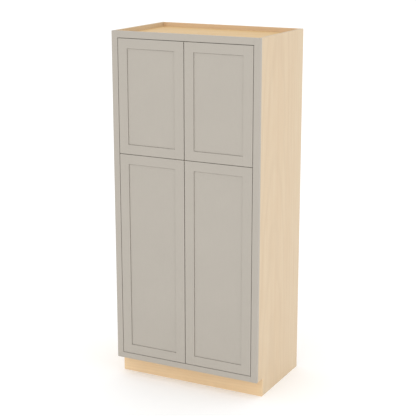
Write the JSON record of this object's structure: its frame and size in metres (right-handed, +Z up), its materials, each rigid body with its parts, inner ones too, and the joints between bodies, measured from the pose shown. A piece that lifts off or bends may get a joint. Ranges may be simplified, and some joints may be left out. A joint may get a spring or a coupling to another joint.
{
  "type": "pantry cabinet",
  "caption": "Tall free-standing pantry cabinet with a face frame, inset doors one above the other on concealed hinges, adjustable shelves and a recessed toe kick.",
  "frame": {"origin": "floor level, under the middle of the cabinet", "axes": "+Z up, the doors face -Y, +X to the right as seen from the front"},
  "size_m": [0.952, 0.61, 2.134],
  "materials": {
    "side_veneer": "satin clear-coated maple veneer, grain upright",
    "shelf_veneer": "satin clear-coated maple veneer, grain across",
    "back_veneer": "satin clear-coated maple veneer, grain upright",
    "toe_veneer": "satin maple veneer, grain across",
    "solid_maple": "planed solid maple, uncoated",
    "paint_upright": "warm grey satin paint on maple, grain upright",
    "paint_level": "warm grey satin paint on maple, grain across",
    "dowel_wood": "fluted beech, matt",
    "bumper_rubber": "clear soft polyurethane",
    "peg_steel": "zinc plated",
    "screw_steel": "zinc plated",
    "hinge_nickel": "satin nickel plated"
  },
  "bodies": {
    "carcass": {"side_panel_left": "side_veneer", "side_panel_right": "side_veneer", "top_panel": "shelf_veneer", "bottom_panel": "shelf_veneer", "fixed_shelf": "shelf_veneer", "lower_shelf_1": "shelf_veneer", "lower_shelf_2": "shelf_veneer", "lower_shelf_3": "shelf_veneer", "upper_shelf_1": "shelf_veneer", "back_panel": "back_veneer", "top_nailer": "solid_maple", "middle_nailer": "solid_maple", "bottom_nailer": "solid_maple", "door_stop_rail": "solid_maple", "door_stops": "solid_maple", "toe_kick_board": "toe_veneer", "face_frame_stile_left": "paint_upright", "face_frame_stile_right": "paint_upright", "face_frame_top_rail": "paint_level", "face_frame_bottom_rail": "paint_level", "face_frame_dowels": "dowel_wood", "door_bumpers": "bumper_rubber", "shelf_pegs": "peg_steel", "hinge_plate_screws": "screw_steel", "upper_hinge_arms": "hinge_nickel", "lower_hinge_arms": "hinge_nickel"},
    "upper_left_door": {"upper_left_door_hinge_stile": "paint_upright", "upper_left_door_free_stile": "paint_upright", "upper_left_door_top_rail": "paint_level", "upper_left_door_bottom_rail": "paint_level", "upper_left_door_panel": "paint_upright", "upper_left_door_hinge_cups": "hinge_nickel", "upper_left_door_hinge_pins": "screw_steel", "upper_left_door_cup_screws": "screw_steel"},
    "upper_right_door": {"upper_right_door_hinge_stile": "paint_upright", "upper_right_door_free_stile": "paint_upright", "upper_right_door_top_rail": "paint_level", "upper_right_door_bottom_rail": "paint_level", "upper_right_door_panel": "paint_upright", "upper_right_door_hinge_cups": "hinge_nickel", "upper_right_door_hinge_pins": "screw_steel", "upper_right_door_cup_screws": "screw_steel"},
    "lower_left_door": {"lower_left_door_hinge_stile": "paint_upright", "lower_left_door_free_stile": "paint_upright", "lower_left_door_top_rail": "paint_level", "lower_left_door_bottom_rail": "paint_level", "lower_left_door_panel": "paint_upright", "lower_left_door_hinge_cups": "hinge_nickel", "lower_left_door_hinge_pins": "screw_steel", "lower_left_door_cup_screws": "screw_steel"},
    "lower_right_door": {"lower_right_door_hinge_stile": "paint_upright", "lower_right_door_free_stile": "paint_upright", "lower_right_door_top_rail": "paint_level", "lower_right_door_bottom_rail": "paint_level", "lower_right_door_panel": "paint_upright", "lower_right_door_hinge_cups": "hinge_nickel", "lower_right_door_hinge_pins": "screw_steel", "lower_right_door_cup_screws": "screw_steel"}
  },
  "joints": [
    {"name": "upper_left_door_hinge", "type": "hinge", "parent": "carcass", "child": "upper_left_door", "pos_m": [-0.41693, -0.2955, 1.7507], "axis": [0, 0, -1], "range_deg": [0, 105]},
    {"name": "upper_right_door_hinge", "type": "hinge", "parent": "carcass", "child": "upper_right_door", "pos_m": [0.41693, -0.2955, 1.7507], "axis": [0, 0, 1], "range_deg": [0, 105]},
    {"name": "lower_left_door_hinge", "type": "hinge", "parent": "carcass", "child": "lower_left_door", "pos_m": [-0.41693, -0.2955, 0.77875], "axis": [0, 0, -1], "range_deg": [0, 105]},
    {"name": "lower_right_door_hinge", "type": "hinge", "parent": "carcass", "child": "lower_right_door", "pos_m": [0.41693, -0.2955, 0.77875], "axis": [0, 0, 1], "range_deg": [0, 105]}
  ]
}
